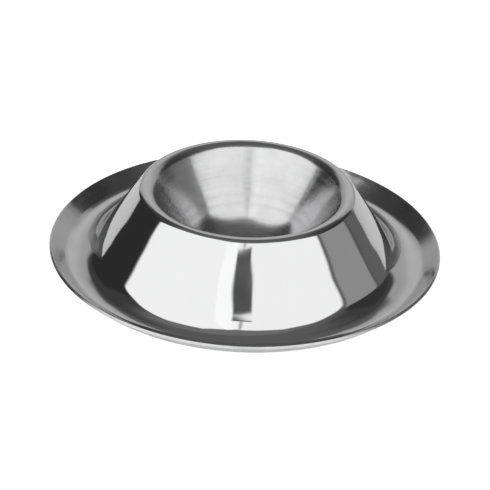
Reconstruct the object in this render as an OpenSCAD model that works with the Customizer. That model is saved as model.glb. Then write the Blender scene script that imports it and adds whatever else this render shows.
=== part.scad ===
// Egg cup and saucer drawn in one piece from a disc of stainless steel sheet.
// It is a shell of revolution about Z, and Z = 0 is the table that it stands on.
// The sheet runs outwards from the bowl's floor, up the bowl, over the crown,
// down the wall to the foot, and out along the flange to the cut edge.

/* [Sheet and overall size] */
// Diameter over the saucer's cut edge
saucer_d = 85; // [80:0.5:92]
// Height from the table to the top of the crown
cup_h = 17.2; // [15:0.1:20]
// Thickness of the steel sheet
sheet_t = 0.7; // [0.5:0.05:1]

/* [Crown] */
// Diameter of the crown's highest circle
crown_d = 44.1; // [40:0.1:48]
// Radius over the outside of the crown
crown_r = 1.65; // [1.4:0.05:2.6]

/* [Bowl] */
// Lean of the bowl's conical side from upright, in degrees
bowl_lean = 38; // [33:0.5:42]
// Diameter of the flat in the middle of the bowl's floor
bowl_flat_d = 4.6; // [3:0.2:7]
// Clear height between the table and the bowl's floor
floor_gap = 0.6; // [0.4:0.1:2]

/* [Foot and saucer] */
// Width of the saucer, from the middle of the foot's inner fold to the cut edge
saucer_w = 6.3; // [5.6:0.1:8]
// Radius of the fold between the wall and the foot
foot_in_r = 4.2; // [3:0.1:5]
// Width of the flat ring that the cup stands on
foot_flat_w = 0.4; // [0.2:0.1:1.2]
// Radius of the fold between the foot and the flange
foot_out_r = 5; // [4:0.25:6]
// Rise of the flange from level, in degrees
flange_rise = 40; // [32:1:48]
// Rounding on both corners of the cut edge
edge_r = 0.15; // [0.1:0.05:0.2]

/* [Hidden] */
// Most that a chord may stand off the true curve of a fold
chord_off = 0.01;
shell_fn = 180;

// Centre of the crown's fold
crown_c = [crown_d / 2, cup_h - crown_r];

// Centres of the two folds at the foot, one on each side of the flat ring
foot_in_c = [saucer_d / 2 - saucer_w, sheet_t + foot_in_r];
foot_out_c = [foot_in_c[0] + foot_flat_w, sheet_t + foot_out_r];

// The wall is a cone that meets the crown's fold and the foot's fold without
// a crease, so its lean from upright follows from where those two stand
folds_off = foot_in_c - crown_c;
folds_across = crown_r + foot_in_r;
folds_along = sqrt(folds_off * folds_off - folds_across ^ 2);
wall_lean = atan2(folds_off[1], folds_off[0]) + atan2(folds_along, folds_across);

// The bowl's fold runs from the flat of its floor up to the conical side
flat_r = bowl_flat_d / 2;
lip_r = crown_c[0] - crown_r * cos(bowl_lean);
lip_z = crown_c[1] + crown_r * sin(bowl_lean);
floor_z = floor_gap + sheet_t;
side_off = (lip_r - flat_r) * cos(bowl_lean) - (lip_z - floor_z) * sin(bowl_lean);
bowl_r = side_off / (1 - sin(bowl_lean));
bowl_c = [flat_r, floor_z + bowl_r];

// The flange runs straight from the foot's fold to the corners of its cut edge
along = [cos(flange_rise), sin(flange_rise)];
under = [sin(flange_rise), -cos(flange_rise)];
top_corner_r = foot_out_r + edge_r;
low_corner_r = foot_out_r + sheet_t - edge_r;
flange_run = (saucer_d / 2 - edge_r - foot_out_c[0] - low_corner_r * under[0]) / along[0];
top_corner_c = foot_out_c + top_corner_r * under + flange_run * along;
low_corner_c = foot_out_c + low_corner_r * under + flange_run * along;

// Points of a fold about centre c with radius r, from angle a to angle b
function fold(c, r, a, b) =
    let (n = ceil(abs(b - a) / (2 * acos(1 - chord_off / r))))
    [for (i = [0:n]) c + r * [cos(a + (b - a) * i / n), sin(a + (b - a) * i / n)]];

// The sheet's upper face, from the middle of the bowl to the flange
upper_face = concat(
    [[0, floor_z]],
    fold(bowl_c, bowl_r, -90, -bowl_lean),
    fold(crown_c, crown_r, 180 - bowl_lean, wall_lean),
    fold(foot_in_c, foot_in_r, 180 + wall_lean, 270),
    fold(foot_out_c, foot_out_r, 270, 270 + flange_rise)
);

// The cut edge with its two corners rounded off
cut_edge = concat(
    fold(top_corner_c, edge_r, 90 + flange_rise, flange_rise),
    fold(low_corner_c, edge_r, flange_rise, flange_rise - 90)
);

// The sheet's lower face, one thickness below the upper one, back to the middle
lower_face = concat(
    fold(foot_out_c, foot_out_r + sheet_t, 270 + flange_rise, 270),
    fold(foot_in_c, foot_in_r + sheet_t, 270, 180 + wall_lean),
    fold(crown_c, crown_r - sheet_t, wall_lean, 180 - bowl_lean),
    fold(bowl_c, bowl_r + sheet_t, -bowl_lean, -90),
    [[0, floor_gap]]
);

// The whole cup and saucer, one drawn sheet of even thickness
module egg_cup_shell() {
    color([0.72, 0.73, 0.74])
        rotate_extrude($fn = shell_fn)
            polygon(concat(upper_face, cut_edge, lower_face));
}

egg_cup_shell();
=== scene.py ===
import math

import bpy
from mathutils import Matrix, Vector


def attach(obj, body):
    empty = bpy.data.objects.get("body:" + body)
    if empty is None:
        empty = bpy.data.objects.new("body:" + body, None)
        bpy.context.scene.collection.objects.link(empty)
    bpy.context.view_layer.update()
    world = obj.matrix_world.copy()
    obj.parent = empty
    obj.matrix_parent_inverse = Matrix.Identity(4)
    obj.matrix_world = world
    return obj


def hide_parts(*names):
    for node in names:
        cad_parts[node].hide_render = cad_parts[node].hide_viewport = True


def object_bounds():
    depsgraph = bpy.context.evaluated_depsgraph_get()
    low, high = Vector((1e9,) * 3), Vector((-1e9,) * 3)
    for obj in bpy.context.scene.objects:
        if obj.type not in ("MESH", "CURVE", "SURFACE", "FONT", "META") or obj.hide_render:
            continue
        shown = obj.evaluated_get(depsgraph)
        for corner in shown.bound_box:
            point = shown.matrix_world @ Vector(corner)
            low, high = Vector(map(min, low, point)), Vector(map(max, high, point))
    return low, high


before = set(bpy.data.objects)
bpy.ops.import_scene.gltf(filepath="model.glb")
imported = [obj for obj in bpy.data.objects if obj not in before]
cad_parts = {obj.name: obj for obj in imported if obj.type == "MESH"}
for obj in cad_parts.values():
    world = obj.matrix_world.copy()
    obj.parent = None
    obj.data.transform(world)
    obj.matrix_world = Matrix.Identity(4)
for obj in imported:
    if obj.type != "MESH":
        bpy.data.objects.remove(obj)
cad_low, cad_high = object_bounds()

# The photographer's camera stands on a tripod half a metre from the cup, looks down
# at it, and leans a little to one side. Its long lens is given for a 36 mm frame.
CAMERA_DISTANCE = 0.50733
CAMERA_ABOVE_TABLE = math.radians(30.02)
CAMERA_AIM_HEIGHT = 0.00306
CAMERA_LEAN = math.radians(2.55)
CAMERA_SEES_FROM = 0.01
LENS_MM = 171.07
FRAME_MM = 36

aim = Vector((0, 0, CAMERA_AIM_HEIGHT))
towards_camera = Vector((0, -math.cos(CAMERA_ABOVE_TABLE), math.sin(CAMERA_ABOVE_TABLE)))
camera = bpy.data.objects.new("photo_camera", bpy.data.cameras.new("photo_camera"))
camera.data.lens = LENS_MM
camera.data.sensor_width = FRAME_MM
camera.data.clip_start = CAMERA_SEES_FROM
camera.matrix_world = (
    Matrix.Translation(aim + towards_camera * CAMERA_DISTANCE)
    @ towards_camera.to_track_quat("Z", "Y").to_matrix().to_4x4()
    @ Matrix.Rotation(CAMERA_LEAN, 4, "Z")
)
bpy.context.scene.collection.objects.link(camera)
bpy.context.scene.camera = camera

# The table is a sheet of smooth white board that runs out of sight on every side.
# It lies at the height that the cup stands on, and it takes the cup's soft shadow.
TABLE_REACH = 4
TABLE_WHITE = (0.86, 0.86, 0.86, 1)
TABLE_SEEN = 0.75
TABLE_MIRRORED = 0.21


def to_scene(name, mesh):
    made = bpy.data.objects.new(name, mesh)
    bpy.context.scene.collection.objects.link(made)
    return made


def shader(name):
    material = bpy.data.materials.new(name)
    material.use_nodes = True
    material.node_tree.nodes.clear()
    return material, material.node_tree.nodes, material.node_tree.links


table_corners = [
    (x * TABLE_REACH, y * TABLE_REACH, cad_low[2])
    for x, y in ((-1, -1), (1, -1), (1, 1), (-1, 1))
]
table_mesh = bpy.data.meshes.new("table")
table_mesh.from_pydata(table_corners, [], [(0, 1, 2, 3)])
table = to_scene("table", table_mesh)

# The board is lit as it lies there. To the camera, and more faintly in the steel, it
# also glows of itself, so that the ground of the picture is white.
board, nodes, links = shader("white board")
board_out = nodes.new("ShaderNodeOutputMaterial")
board_lit = nodes.new("ShaderNodeBsdfDiffuse")
board_lit.inputs["Color"].default_value = TABLE_WHITE
board_sum = nodes.new("ShaderNodeAddShader")
board_ray = nodes.new("ShaderNodeLightPath")
board_glow = nodes.new("ShaderNodeEmission")
seen_part = nodes.new("ShaderNodeMath")
seen_part.operation = "MULTIPLY"
seen_part.inputs[1].default_value = TABLE_SEEN
mirrored_part = nodes.new("ShaderNodeMath")
mirrored_part.operation = "MULTIPLY_ADD"
mirrored_part.inputs[1].default_value = TABLE_MIRRORED
links.new(board_ray.outputs["Is Camera Ray"], seen_part.inputs[0])
links.new(board_ray.outputs["Is Glossy Ray"], mirrored_part.inputs[0])
links.new(seen_part.outputs[0], mirrored_part.inputs[2])
links.new(mirrored_part.outputs[0], board_glow.inputs["Strength"])
links.new(board_lit.outputs[0], board_sum.inputs[0])
links.new(board_glow.outputs[0], board_sum.inputs[1])
links.new(board_sum.outputs[0], board_out.inputs["Surface"])
table_mesh.materials.append(board)

# The studio is a tent of white cloth around the table. Panels hang behind it, bright
# ones lit by the lamps and dark ones that shade it, and each shows softly through.
TENT_RADIUS = 0.9
TENT_FROM_UP = -3
TENT_TOP_UP = 90
TENT_STEP = 1
TENT_FINE_FROM = 33
TENT_FINE_TO = 40
TENT_FINE_STEP = 0.25
TENT_DIM = 0.125
FULL_TURN = 360
# Brightness, width of the soft border, and corners. All but the first are in degrees,
# and a corner says how far to the right of the camera it hangs, going round, and how
# far up. Where two panels cross, the later one hangs in front.
PANELS = {
    "front ceiling": (0.19, 25, [(-122, 56), (75, 57), (75, 95), (-122, 95)]),
    "left shade": (0.055, 18, [(-150, -12), (-88, -12), (-92, 50), (-157, 60)]),
    "right shade": (0.06, 20, [(83, -12), (138, -12), (147, 60), (87, 56)]),
    "left black": (0.03, 6, [(-143, -12), (-91, -12), (-91, 34), (-125, 36), (-138, 18)]),
    "right black": (0.04, 5, [(83, -12), (124, -12), (127, 42), (87, 38)]),
    "backdrop": (0.4, 7, [(129, -12), (220, -12), (214, 36), (180, 45), (137, 38)]),
    "backdrop's middle": (0.56, 22, [(149, 17), (207, 20), (195, 36), (161, 36)]),
    "side strip": (0.34, 3, [(79, -12), (110, -12), (113, 13), (82, 29)]),
    "side strip's end": (0.14, 4, [(110, -12), (133, -12), (137, -3), (115, 15)]),
    "left panel": (
        1.17,
        2.5,
        [(-98.5, -12), (0, -12), (-1, 68), (-22, 70), (-58, 75), (-90, 62)],
    ),
    "right panel": (1.15, 2.5, [(-3, -12), (80, -12), (78, 33), (68, 53), (50, 66), (-2, 69)]),
    "bright strip": (1.28, 1.5, [(-22, -12), (-9, -12), (-9, 69), (-21, 71)]),
    "seam": (0.45, 2, [(-1.5, 38), (1.5, 38), (1.5, 70), (-1.5, 70)]),
    "lens slit": (0.08, 0.7, [(-8, 34.6), (8, 34.6), (8, 37.4), (-8, 37.4)]),
}


def soft_step(off, soft):
    share = min(1, max(0, off / soft + 0.5))
    return share * share * (3 - 2 * share)


def tent_glow(turn, up):
    glow = TENT_DIM
    for panel_glow, soft, corners in PANELS.values():
        middle = sum(corner[0] for corner in corners) / len(corners)
        half_turn = FULL_TURN / 2
        across = (turn - middle + half_turn) % FULL_TURN - half_turn + middle
        share = 1
        for start, end in zip(corners, corners[1:] + corners[:1]):
            run, rise = end[0] - start[0], end[1] - start[1]
            inside = run * (up - start[1]) - rise * (across - start[0])
            share *= soft_step(inside / math.hypot(run, rise), soft)
            if share == 0:
                break
        glow += (panel_glow - glow) * share
    return glow


# Rows of points run round the tent, closer together where the lens slit is
turns = round(FULL_TURN / TENT_STEP)
rises = list(range(TENT_FROM_UP, TENT_FINE_FROM, TENT_STEP))
rises += [
    TENT_FINE_FROM + j * TENT_FINE_STEP
    for j in range(round((TENT_FINE_TO - TENT_FINE_FROM) / TENT_FINE_STEP))
]
rises += list(range(TENT_FINE_TO, TENT_TOP_UP, TENT_STEP))
tent_points = []
tent_glows = []
for up in rises:
    for i in range(turns):
        turn = i * TENT_STEP
        flat_turn, flat_up = math.radians(turn), math.radians(up)
        tent_points.append(
            (
                TENT_RADIUS * math.cos(flat_up) * math.sin(flat_turn),
                -TENT_RADIUS * math.cos(flat_up) * math.cos(flat_turn),
                TENT_RADIUS * math.sin(flat_up),
            )
        )
        tent_glows.append(tent_glow(turn, up))
tent_points.append((0, 0, TENT_RADIUS))
tent_glows.append(TENT_DIM)

tent_faces = []
for j in range(len(rises)):
    for i in range(turns):
        row, row_above, beside = j * turns, (j + 1) * turns, (i + 1) % turns
        if j < len(rises) - 1:
            tent_faces.append((row + i, row_above + i, row_above + beside, row + beside))
        else:
            tent_faces.append((row + i, row_above, row + beside))
tent_mesh = bpy.data.meshes.new("tent")
tent_mesh.from_pydata(tent_points, [], tent_faces)
tent_mesh.attributes.new("glow", "FLOAT", "POINT").data.foreach_set("value", tent_glows)
tent = to_scene("tent", tent_mesh)

cloth, nodes, links = shader("tent cloth")
cloth_out = nodes.new("ShaderNodeOutputMaterial")
cloth_glow = nodes.new("ShaderNodeEmission")
cloth_map = nodes.new("ShaderNodeAttribute")
cloth_map.attribute_name = "glow"
links.new(cloth_map.outputs["Fac"], cloth_glow.inputs["Strength"])
links.new(cloth_glow.outputs[0], cloth_out.inputs["Surface"])
tent_mesh.materials.append(cloth)
tent.visible_camera = False

# The room behind the table's edge is plain white. The camera looks out of the tent
# and sees it as the picture's ground, and the tent keeps it off the cup.
world = bpy.data.worlds.new("studio")
bpy.context.scene.world = world
world.use_nodes = True
nodes, links = world.node_tree.nodes, world.node_tree.links
nodes.clear()
world_out = nodes.new("ShaderNodeOutputWorld")
white = nodes.new("ShaderNodeBackground")
white.inputs["Color"].default_value = (1, 1, 1, 1)
white.inputs["Strength"].default_value = 1
links.new(white.outputs[0], world_out.inputs["Surface"])
bpy.context.scene.view_settings.view_transform = "Standard"

# The cup and its saucer are one disc of stainless steel sheet, drawn in a press into a
# ring-shaped wall with a bowl inside it. The outside is mirror polished. The bowl is
# brushed satin as it spins, and so are the cut edge and the underside.
SHEET = 0.0007
CROWN_ACROSS = 0.0441
CROWN_OUT_FOLD = 0.00165
FLOOR_GAP = 0.0006
EDGE_ROUND = 0.00015
# These are read from the reflections, and keep the sheet within about a millimetre of
# the solid that it stands for
CROWN_IN_FOLD = 0.0026
BOWL_LEAN = math.radians(33)
FLOOR_ACROSS = 0.0115
FOOT_IN_FOLD = 0.0065
FOOT_FLAT = 0.0002
FOOT_OUT_FOLD = 0.0025
FLANGE_RISE = math.radians(41)
SAUCER_WIDTH = 0.00507
# How finely the sheet is cut up
FOLD_STEP = math.radians(2.5)
EDGE_STEP = math.radians(10)
LONGEST_STEP = 0.001
STEPS_ROUND = 256
WELD = 0.000001

saucer_radius = (cad_high[0] - cad_low[0]) / 2
top = cad_high[2]


def out_at(angle):
    return Vector((math.cos(angle), math.sin(angle)))


def around(centre, radius, start, end, step=FOLD_STEP):
    steps = math.ceil(abs(end - start) / min(step, LONGEST_STEP / radius))
    angles = [start + (end - start) * i / steps for i in range(steps + 1)]
    return [centre + radius * out_at(angle) for angle in angles]


# Centres of the folds, in the plane of the section: out from the axis, and up
crown = Vector((CROWN_ACROSS / 2, top - CROWN_OUT_FOLD))
crown_in = Vector((CROWN_ACROSS / 2, top - CROWN_IN_FOLD))
foot_in = Vector((saucer_radius - SAUCER_WIDTH, SHEET + FOOT_IN_FOLD))
foot_out = Vector((foot_in.x + FOOT_FLAT, SHEET + FOOT_OUT_FOLD))

# The wall is a cone that runs into the crown and into the foot without a crease
apart = foot_in - crown
across_folds = CROWN_OUT_FOLD + FOOT_IN_FOLD
between_folds = math.sqrt(apart.length_squared - across_folds**2)
wall_lean = math.atan2(apart.y, apart.x) + math.atan2(between_folds, across_folds)

# The bowl's side is a cone as well, and one wide fold takes it to the flat floor
lip = crown_in + CROWN_IN_FOLD * out_at(math.pi - BOWL_LEAN)
floor_top = FLOOR_GAP + SHEET
bowl_fold = (
    (lip.x - FLOOR_ACROSS / 2) * math.cos(BOWL_LEAN) - (lip.y - floor_top) * math.sin(BOWL_LEAN)
) / (1 - math.sin(BOWL_LEAN))
bowl = Vector((FLOOR_ACROSS / 2, floor_top + bowl_fold))

# The flange runs straight from the foot to the two rounded corners of the cut edge
along = out_at(FLANGE_RISE)
under = out_at(FLANGE_RISE - math.pi / 2)
low_corner_fold = FOOT_OUT_FOLD + SHEET - EDGE_ROUND
flange_run = (saucer_radius - EDGE_ROUND - foot_out.x - low_corner_fold * under.x) / along.x
top_corner = foot_out + (FOOT_OUT_FOLD + EDGE_ROUND) * under + flange_run * along
low_corner = foot_out + low_corner_fold * under + flange_run * along

# Angles along the section, for the folds' ends
north, south = math.pi / 2, 3 * math.pi / 2
bowl_side = math.pi - BOWL_LEAN
wall_side = math.pi + wall_lean
flange_side = south + FLANGE_RISE
top_end, low_end = north + FLANGE_RISE, FLANGE_RISE - north

# The stretches of the section, from the bowl's floor out over the upper face to the cut
# edge and back underneath. Each has how satin and how worn it is, 0 to 1, at both ends.
stretches = [
    ([Vector((0, floor_top))], (1, 1), (0, 0)),
    (around(bowl, bowl_fold, -north, -BOWL_LEAN), (1, 1), (0, 0)),
    (around(crown_in, CROWN_IN_FOLD, bowl_side, north), (1, 0), (0.3, 1)),
    (around(crown, CROWN_OUT_FOLD, north, wall_lean), (0, 0), (1, 0)),
    (around(foot_in, FOOT_IN_FOLD, wall_side, south), (0, 0), (0, 0)),
    (around(foot_out, FOOT_OUT_FOLD, south, flange_side), (0, 0.5), (0, 0)),
    (around(top_corner, EDGE_ROUND, top_end, FLANGE_RISE, EDGE_STEP), (0.5, 1), (1, 1)),
    (around(low_corner, EDGE_ROUND, FLANGE_RISE, low_end, EDGE_STEP), (1, 1), (1, 1)),
    (around(foot_out, FOOT_OUT_FOLD + SHEET, flange_side, south), (1, 1), (0, 1)),
    (around(foot_in, FOOT_IN_FOLD + SHEET, south, wall_side), (1, 1), (1, 0)),
    (around(crown, CROWN_OUT_FOLD - SHEET, wall_lean, north), (1, 1), (0, 0)),
    (around(crown_in, CROWN_IN_FOLD - SHEET, north, bowl_side), (1, 1), (0, 0)),
    (around(bowl, bowl_fold + SHEET, -BOWL_LEAN, -north), (1, 1), (0, 0)),
    ([Vector((0, FLOOR_GAP))], (1, 1), (0, 0)),
]
section = []
satin = []
worn = []
walked = []
for points, satin_ends, worn_ends in stretches:
    for i, point in enumerate(points):
        share = i / max(1, len(points) - 1)
        satin_here = satin_ends[0] + (satin_ends[1] - satin_ends[0]) * share
        worn_here = worn_ends[0] + (worn_ends[1] - worn_ends[0]) * share
        before = (section[-1], satin[-1], worn[-1], walked[-1]) if section else (point, 0, 0, 0)
        gap = (point - before[0]).length
        # Long straight runs are cut into short ones, so that smooth shading stays true
        pieces = max(1, math.ceil(gap / LONGEST_STEP))
        for j in range(1, pieces + 1):
            part = j / pieces
            section.append(before[0].lerp(point, part))
            satin.append(before[1] + (satin_here - before[1]) * part)
            worn.append(before[2] + (worn_here - before[2]) * part)
            walked.append(before[3] + gap * part)

section_mesh = bpy.data.meshes.new("egg_cup_sheet")
section_mesh.from_pydata(
    [(p.x, 0, p.y) for p in section], [(i, i + 1) for i in range(len(section) - 1)], []
)
for name, values in (("satin", satin), ("worn", worn), ("walked", walked)):
    section_mesh.attributes.new(name, "FLOAT", "POINT").data.foreach_set("value", values)
sheet = to_scene("egg_cup_sheet", section_mesh)

# The steel's finish. Each kind of mark has its number per metre, how finely it is
# broken up, and the band of the noise, 0 to 1, over which it comes in. The roughnesses
# run from the smoothest place to the roughest.
SPIN_MARKS, SPIN_DETAIL, SPIN_BAND = 900, 1, (0.3, 0.7)
SMUDGES, SMUDGE_DETAIL, SMUDGE_BAND = 90, 3, (0.35, 0.75)
RUBS, RUB_DETAIL, RUB_BAND = 420, 4, (0.5, 0.75)
CLOUDS, CLOUD_DETAIL, CLOUD_BAND = 200, 4, (0.3, 0.7)
CLOUD_SHARE = (0.3, 0.85)
RIPPLES, RIPPLE_DETAIL, RIPPLE_HEIGHT = 150, 0, 0.00012
FLUTES_ROUND, FLUTE_DETAIL, FLUTE_HEIGHT = 6, 2, 0.00005
MIRROR_ROUGH = (0.035, 0.075)
SATIN_ROUGH = (0.19, 0.27)
RUBBED_ROUGHER = (0, 0.14)
SATIN_STRETCH = 0.6
QUARTER_TURN = 0.25
POLISHED_COLOUR = (0.74, 0.74, 0.745, 1)
SATIN_COLOUR = (0.58, 0.58, 0.585, 1)

steel, nodes, links = shader("polished stainless steel")


def from_section(name):
    reader = nodes.new("ShaderNodeAttribute")
    reader.attribute_name = name
    return reader.outputs["Fac"]


def noise(scale, detail, **named):
    texture = nodes.new("ShaderNodeTexNoise")
    texture.inputs["Scale"].default_value = scale
    texture.inputs["Detail"].default_value = detail
    for option, value in named.items():
        setattr(texture, option, value)
    return texture


def spread(source, seen_between, made_between):
    map_range = nodes.new("ShaderNodeMapRange")
    map_range.inputs["From Min"].default_value = seen_between[0]
    map_range.inputs["From Max"].default_value = seen_between[1]
    map_range.inputs["To Min"].default_value = made_between[0]
    map_range.inputs["To Max"].default_value = made_between[1]
    links.new(source, map_range.inputs["Value"])
    return map_range.outputs["Result"]


def sum_or_product(operation, first, second):
    math_node = nodes.new("ShaderNodeMath")
    math_node.operation = operation
    for socket, value in ((math_node.inputs[0], first), (math_node.inputs[1], second)):
        if isinstance(value, bpy.types.NodeSocket):
            links.new(value, socket)
        else:
            socket.default_value = value
    return math_node.outputs[0]


def blend(share, at_none, at_full):
    mix = nodes.new("ShaderNodeMix")
    links.new(share, mix.inputs["Factor"])
    links.new(at_none, mix.inputs["A"])
    links.new(at_full, mix.inputs["B"])
    return mix.outputs["Result"]


place = nodes.new("ShaderNodeTexCoord").outputs["Object"]
is_satin = from_section("satin")
is_worn = from_section("worn")
spin = noise(SPIN_MARKS, SPIN_DETAIL, noise_dimensions="1D")
links.new(from_section("walked"), spin.inputs["W"])
smudge = noise(SMUDGES, SMUDGE_DETAIL)
links.new(place, smudge.inputs["Vector"])
rub = noise(RUBS, RUB_DETAIL)
links.new(place, rub.inputs["Vector"])
ripple = noise(RIPPLES, RIPPLE_DETAIL)
links.new(place, ripple.inputs["Vector"])
cloud = noise(CLOUDS, CLOUD_DETAIL)
links.new(place, cloud.inputs["Vector"])

# The bowl's faint upright flutes change with the direction round the axis alone
flat_place = nodes.new("ShaderNodeVectorMath")
flat_place.operation = "MULTIPLY"
flat_place.inputs[1].default_value = (1, 1, 0)
links.new(place, flat_place.inputs[0])
facing = nodes.new("ShaderNodeVectorMath")
facing.operation = "NORMALIZE"
links.new(flat_place.outputs[0], facing.inputs[0])
flute = noise(FLUTES_ROUND, FLUTE_DETAIL)
links.new(facing.outputs[0], flute.inputs["Vector"])

mirror_rough = spread(smudge.outputs["Fac"], SMUDGE_BAND, MIRROR_ROUGH)
satin_rough = spread(spin.outputs["Fac"], SPIN_BAND, SATIN_ROUGH)
rub_rough = spread(rub.outputs["Fac"], RUB_BAND, RUBBED_ROUGHER)
rubbed = sum_or_product("MULTIPLY", is_worn, rub_rough)
rough = sum_or_product("ADD", blend(is_satin, mirror_rough, satin_rough), rubbed)
tilt = nodes.new("ShaderNodeBump")
tilt.inputs["Distance"].default_value = RIPPLE_HEIGHT
links.new(ripple.outputs["Fac"], tilt.inputs["Height"])
flutes = nodes.new("ShaderNodeBump")
flutes.inputs["Distance"].default_value = FLUTE_HEIGHT
links.new(is_satin, flutes.inputs["Strength"])
links.new(flute.outputs["Fac"], flutes.inputs["Height"])
links.new(tilt.outputs["Normal"], flutes.inputs["Normal"])
round_axis = nodes.new("ShaderNodeVectorMath")
round_axis.operation = "CROSS_PRODUCT"
round_axis.inputs[0].default_value = (0, 0, 1)
links.new(place, round_axis.inputs[1])
colour = nodes.new("ShaderNodeMix")
colour.data_type = "RGBA"
colour_ends = [socket for socket in colour.inputs if socket.type == "RGBA"]
colour_ends[0].default_value = POLISHED_COLOUR
colour_ends[1].default_value = SATIN_COLOUR
clouded = spread(cloud.outputs["Fac"], CLOUD_BAND, CLOUD_SHARE)
links.new(sum_or_product("MULTIPLY", is_satin, clouded), colour.inputs["Factor"])
colour_made = next(socket for socket in colour.outputs if socket.type == "RGBA")

metal = nodes.new("ShaderNodeBsdfPrincipled")
metal.inputs["Metallic"].default_value = 1
metal.inputs["Anisotropic Rotation"].default_value = QUARTER_TURN
links.new(colour_made, metal.inputs["Base Color"])
links.new(rough, metal.inputs["Roughness"])
links.new(sum_or_product("MULTIPLY", is_satin, SATIN_STRETCH), metal.inputs["Anisotropic"])
links.new(round_axis.outputs[0], metal.inputs["Tangent"])
links.new(flutes.outputs["Normal"], metal.inputs["Normal"])
steel_out = nodes.new("ShaderNodeOutputMaterial")
links.new(metal.outputs[0], steel_out.inputs["Surface"])

# The section is swept round a circle of the saucer's radius. A swept profile is measured
# from its path and lies face down on it, so each point is first moved to suit.
press = bpy.data.node_groups.new("turn the section", "GeometryNodeTree")
press.interface.new_socket("Geometry", in_out="INPUT", socket_type="NodeSocketGeometry")
SIZES_OF_THE_TURN = {
    "Steps round": ("NodeSocketInt", STEPS_ROUND),
    "Path radius": ("NodeSocketFloat", saucer_radius),
    "Weld within": ("NodeSocketFloat", WELD),
    "Metal": ("NodeSocketMaterial", steel),
}
sockets = {
    name: press.interface.new_socket(name, in_out="INPUT", socket_type=kind).identifier
    for name, (kind, _) in SIZES_OF_THE_TURN.items()
}
press.interface.new_socket("Geometry", in_out="OUTPUT", socket_type="NodeSocketGeometry")
nodes, links = press.nodes, press.links
given = nodes.new("NodeGroupInput")
drawn = nodes.new("GeometryNodeInputPosition")
drawn_parts = nodes.new("ShaderNodeSeparateXYZ")
links.new(drawn.outputs[0], drawn_parts.inputs[0])
from_path = nodes.new("ShaderNodeMath")
from_path.operation = "SUBTRACT"
links.new(drawn_parts.outputs["X"], from_path.inputs[0])
links.new(given.outputs["Path radius"], from_path.inputs[1])
downwards = nodes.new("ShaderNodeMath")
downwards.operation = "MULTIPLY"
links.new(drawn_parts.outputs["Z"], downwards.inputs[0])
downwards.inputs[1].default_value = -1
laid = nodes.new("ShaderNodeCombineXYZ")
links.new(from_path.outputs[0], laid.inputs["X"])
links.new(downwards.outputs[0], laid.inputs["Y"])
lay = nodes.new("GeometryNodeSetPosition")
links.new(given.outputs["Geometry"], lay.inputs["Geometry"])
links.new(laid.outputs[0], lay.inputs["Position"])
outline = nodes.new("GeometryNodeMeshToCurve")
links.new(lay.outputs["Geometry"], outline.inputs["Mesh"])
circle = nodes.new("GeometryNodeCurvePrimitiveCircle")
links.new(given.outputs["Steps round"], circle.inputs["Resolution"])
links.new(given.outputs["Path radius"], circle.inputs["Radius"])
turn = nodes.new("GeometryNodeCurveToMesh")
links.new(circle.outputs["Curve"], turn.inputs["Curve"])
links.new(outline.outputs["Curve"], turn.inputs["Profile Curve"])
weld = nodes.new("GeometryNodeMergeByDistance")
links.new(turn.outputs["Mesh"], weld.inputs["Geometry"])
links.new(given.outputs["Weld within"], weld.inputs["Distance"])
smooth = nodes.new("GeometryNodeSetShadeSmooth")
links.new(weld.outputs["Geometry"], smooth.inputs["Geometry"])
real = nodes.new("GeometryNodeRealizeInstances")
links.new(smooth.outputs["Geometry"], real.inputs["Geometry"])
paint = nodes.new("GeometryNodeSetMaterial")
links.new(real.outputs["Geometry"], paint.inputs["Geometry"])
links.new(given.outputs["Metal"], paint.inputs["Material"])
result = nodes.new("NodeGroupOutput")
links.new(paint.outputs["Geometry"], result.inputs["Geometry"])

turned = sheet.modifiers.new("turn", "NODES")
turned.node_group = press
for name, (_, value) in SIZES_OF_THE_TURN.items():
    turned[sockets[name]] = value
bpy.context.view_layer.update()
ready = sheet.evaluated_get(bpy.context.evaluated_depsgraph_get())
sheet.data = bpy.data.meshes.new_from_object(ready)
sheet.modifiers.remove(turned)
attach(sheet, "root")
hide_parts("egg_cup_shell")
